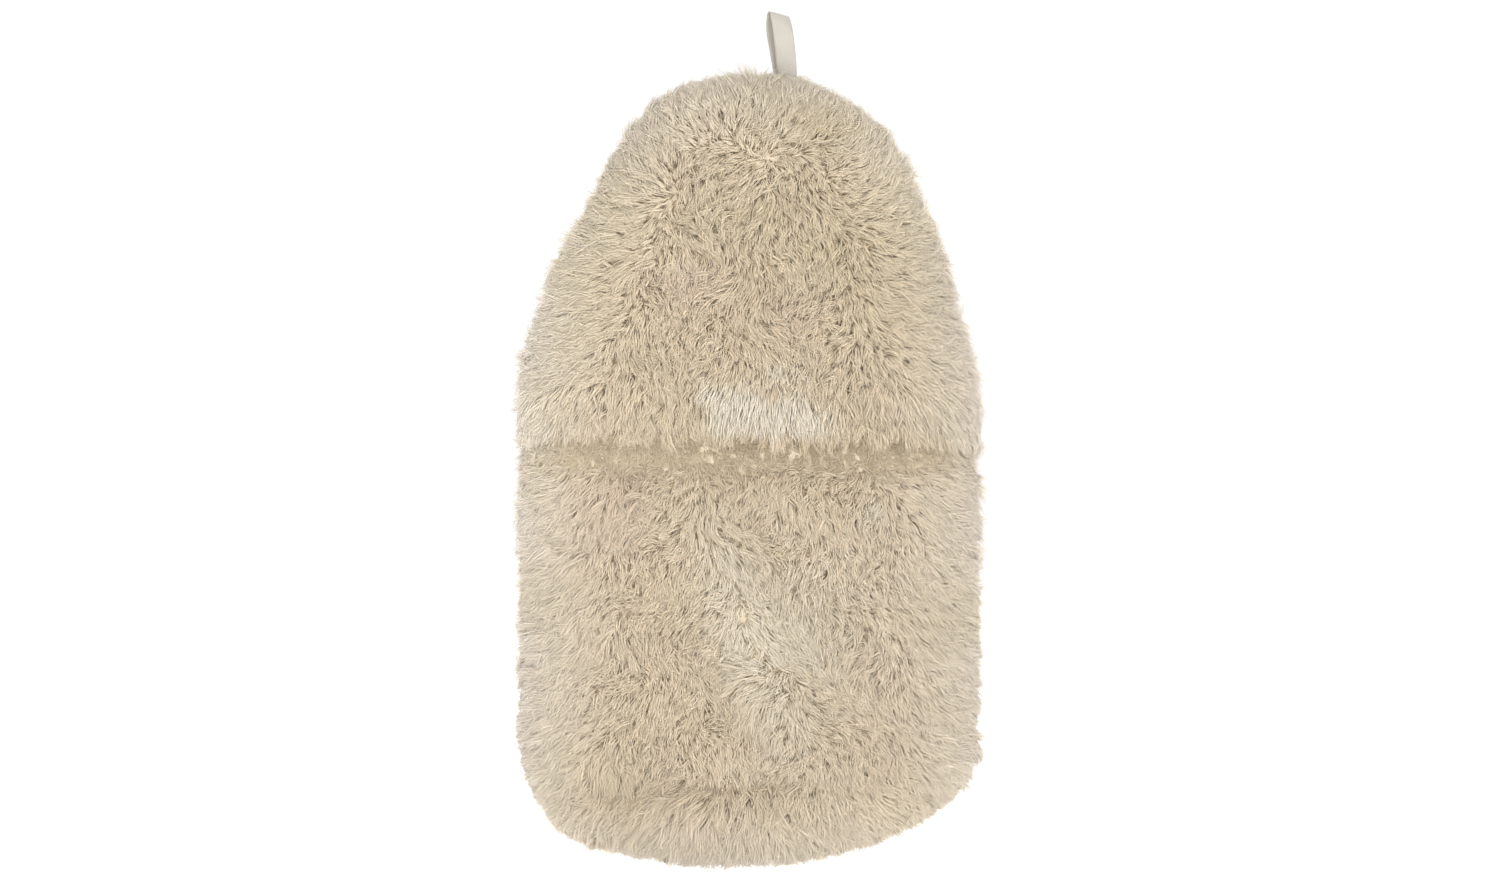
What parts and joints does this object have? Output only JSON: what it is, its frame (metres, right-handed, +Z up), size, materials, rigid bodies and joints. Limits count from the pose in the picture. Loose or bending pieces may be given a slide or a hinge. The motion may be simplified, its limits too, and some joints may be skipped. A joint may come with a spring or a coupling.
{
  "type": "hot water bottle",
  "caption": "Hot water bottle in a long-pile plush cover with an envelope flap across one side and a ribbon hanging loop at its top.",
  "frame": {"origin": "centre of the base, in the plane of the side seam", "axes": "+Z up to the hanging loop, -Y the envelope side, X across the width"},
  "size_m": [0.2306, 0.072, 0.4265],
  "materials": {
    "plush": "long-pile faux fur, soft sheen",
    "hem_tape": "woven cotton tape",
    "ribbon": "satin ribbon",
    "closure": "woven nylon hook and loop",
    "thread": "spun polyester thread",
    "label": "blank satin label",
    "bottle_rubber": "matte moulded rubber",
    "bush_brass": "turned brass",
    "stopper_plastic": "moulded polypropylene",
    "washer_rubber": "soft white rubber",
    "screw_steel": "plated steel"
  },
  "bodies": {
    "cover": {"plain_panel": "plush", "pocket_panel": "plush", "flap_panel": "plush", "pocket_hem": "hem_tape", "closure_hook_patch": "closure", "pocket_hem_stitches": "thread", "hook_patch_stitches": "thread", "perimeter_seam": "thread", "loop_bar_tack": "thread", "care_label": "label", "bottle_shell": "bottle_rubber", "neck_bush": "bush_brass"},
    "flap": {"flap_lip": "plush", "flap_hem": "hem_tape", "closure_loop_patch": "closure", "flap_hem_stitches": "thread", "loop_patch_stitches": "thread"},
    "hanging_loop": {"hang_loop": "ribbon"},
    "washer": {"stopper_washer": "washer_rubber"},
    "stopper": {"stopper_plug": "stopper_plastic", "stopper_knob": "stopper_plastic", "stopper_screw": "screw_steel"}
  },
  "joints": [
    {"name": "flap_lift", "type": "hinge", "parent": "cover", "child": "flap", "pos_m": [0, -0.036, 0.288], "axis": [-1, 0, 0], "range_deg": [0, 50]},
    {"name": "loop_swing", "type": "hinge", "parent": "cover", "child": "hanging_loop", "pos_m": [0.016, 0, 0.389], "axis": [1, 0, 0], "range_deg": [-60, 60], "stiffness_Nm_per_rad": 0.002},
    {"name": "stopper_rise", "type": "slide", "parent": "cover", "child": "washer", "axis": [0, 0, 1], "range_m": [0, 0.009]},
    {"name": "stopper_turn", "type": "hinge", "parent": "washer", "child": "stopper", "pos_m": [0, 0, 0.32], "axis": [0, 0, 1], "range_deg": [0, 1080]}
  ],
  "couplings": [
    {"joint": "stopper_turn", "follows": "stopper_rise", "rad_per_m": 2094.4}
  ]
}
